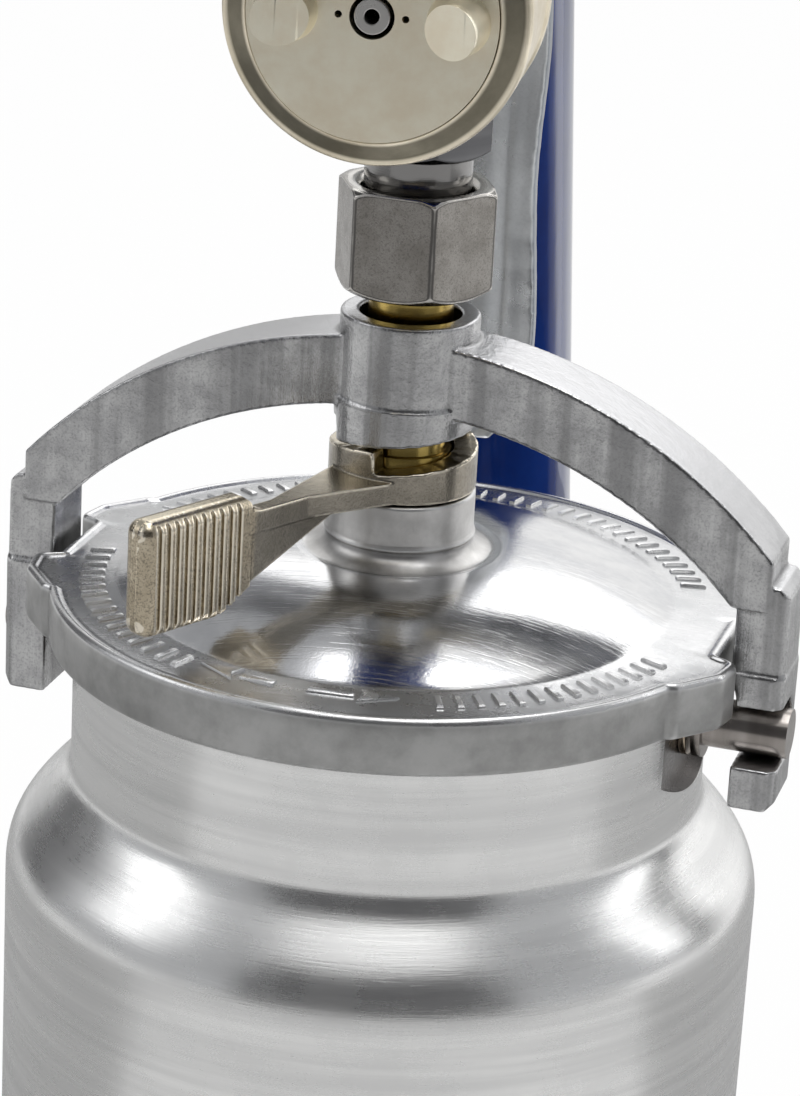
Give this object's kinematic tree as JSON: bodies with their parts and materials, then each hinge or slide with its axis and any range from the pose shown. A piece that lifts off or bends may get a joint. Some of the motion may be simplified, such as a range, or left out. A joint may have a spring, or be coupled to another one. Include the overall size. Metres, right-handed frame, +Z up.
{
  "type": "suction-feed paint spray gun with clamp-lid pot",
  "caption": "Hand spray gun standing on a round shouldered paint pot, with a cam-lever yoke that clamps the lid, a swivel coupling nut and a trigger.",
  "frame": {"origin": "centre of the cup's flat base, under the brass tube's axis", "axes": "+Z up along the tube's axis, -Y the way the gun sprays, +Y towards the handle, +X to the right seen from the front"},
  "size_m": [0.128, 0.187, 0.2466],
  "materials": {
    "spun_aluminium": "turned satin",
    "cast_aluminium": "tumbled, polished on top edges",
    "polished_aluminium": "polished",
    "blue_enamel": "gloss blue over cast aluminium",
    "nickel": "warm satin nickel",
    "dark_nickel": "grainy satin nickel",
    "steel": "turned",
    "brass": "turned",
    "seal": "matt"
  },
  "bodies": {
    "gun": {"gun_body": "blue_enamel", "fluid_inlet": "steel", "fluid_tube": "brass", "tube_lock_nut": "brass", "dip_tube": "spun_aluminium", "lid": "cast_aluminium", "lid_gasket": "seal", "fluid_nozzle": "steel", "packing_nut": "steel", "fluid_bush": "brass", "fan_bush": "brass", "trigger_pin": "steel", "air_valve_gland": "steel", "air_inlet": "steel", "needle_spring": "steel", "air_valve_spring": "steel"},
    "cup": {"cup": "spun_aluminium", "cup_pins": "steel", "pin_washers": "steel"},
    "yoke": {"yoke": "cast_aluminium"},
    "lever": {"cam_lever": "nickel"},
    "coupling": {"coupling_nut": "dark_nickel"},
    "trigger": {"trigger": "polished_aluminium"},
    "needle": {"needle": "steel"},
    "valve_stem": {"air_valve_stem": "steel"},
    "fluid_control": {"fluid_knob": "steel"},
    "fan_control": {"fan_stem": "steel", "fan_knob": "steel"},
    "retainer": {"retaining_ring": "nickel"},
    "air_cap": {"air_cap": "nickel"}
  },
  "joints": [
    {"name": "lever_swing", "type": "hinge", "parent": "gun", "child": "lever", "pos_m": [0, 0, 0.138], "axis": [0, 0, 1], "range_deg": [0, 70]},
    {"name": "yoke_lift", "type": "slide", "parent": "gun", "child": "yoke", "axis": [0, 0, 1], "range_m": [-0.0014, 0]},
    {"name": "cup_twist", "type": "hinge", "parent": "gun", "child": "cup", "pos_m": [0, 0, 0.1], "axis": [0, 0, 1], "range_deg": [-30, 0]},
    {"name": "coupling_spin", "type": "hinge", "parent": "gun", "child": "coupling", "pos_m": [0, 0, 0.175], "axis": [0, 0, 1], "continuous": true},
    {"name": "trigger_pull", "type": "hinge", "parent": "gun", "child": "trigger", "pos_m": [0, 0.034, 0.23685], "axis": [1, 0, 0], "range_deg": [0, 10], "stiffness_Nm_per_rad": 2.5, "springref_deg": -14.32},
    {"name": "needle_slide", "type": "slide", "parent": "gun", "child": "needle", "axis": [0, 1, 0], "range_m": [0, 0.0032], "deforming": ["needle_spring"]},
    {"name": "valve_slide", "type": "slide", "parent": "gun", "child": "valve_stem", "axis": [0, 1, 0], "range_m": [0, 0.009], "deforming": ["air_valve_spring"]},
    {"name": "fluid_knob_turn", "type": "hinge", "parent": "gun", "child": "fluid_control", "pos_m": [0, 0.118, 0.21885], "axis": [0, 1, 0], "continuous": true},
    {"name": "fan_knob_turn", "type": "hinge", "parent": "gun", "child": "fan_control", "pos_m": [0, 0.118, 0.23635], "axis": [0, 1, 0], "continuous": true},
    {"name": "retainer_turn", "type": "hinge", "parent": "gun", "child": "retainer", "pos_m": [0, -0.035, 0.21885], "axis": [0, 1, 0], "continuous": true},
    {"name": "air_cap_turn", "type": "hinge", "parent": "gun", "child": "air_cap", "pos_m": [0, -0.043, 0.21885], "axis": [0, 1, 0], "range_deg": [-90, 90]}
  ],
  "couplings": [
    {"joint": "lever_swing", "follows": "yoke_lift", "rad_per_m": -872.6},
    {"joint": "needle_slide", "follows": "trigger_pull", "m_per_rad": 0.01745},
    {"joint": "valve_slide", "follows": "trigger_pull", "m_per_rad": 0.0512}
  ]
}
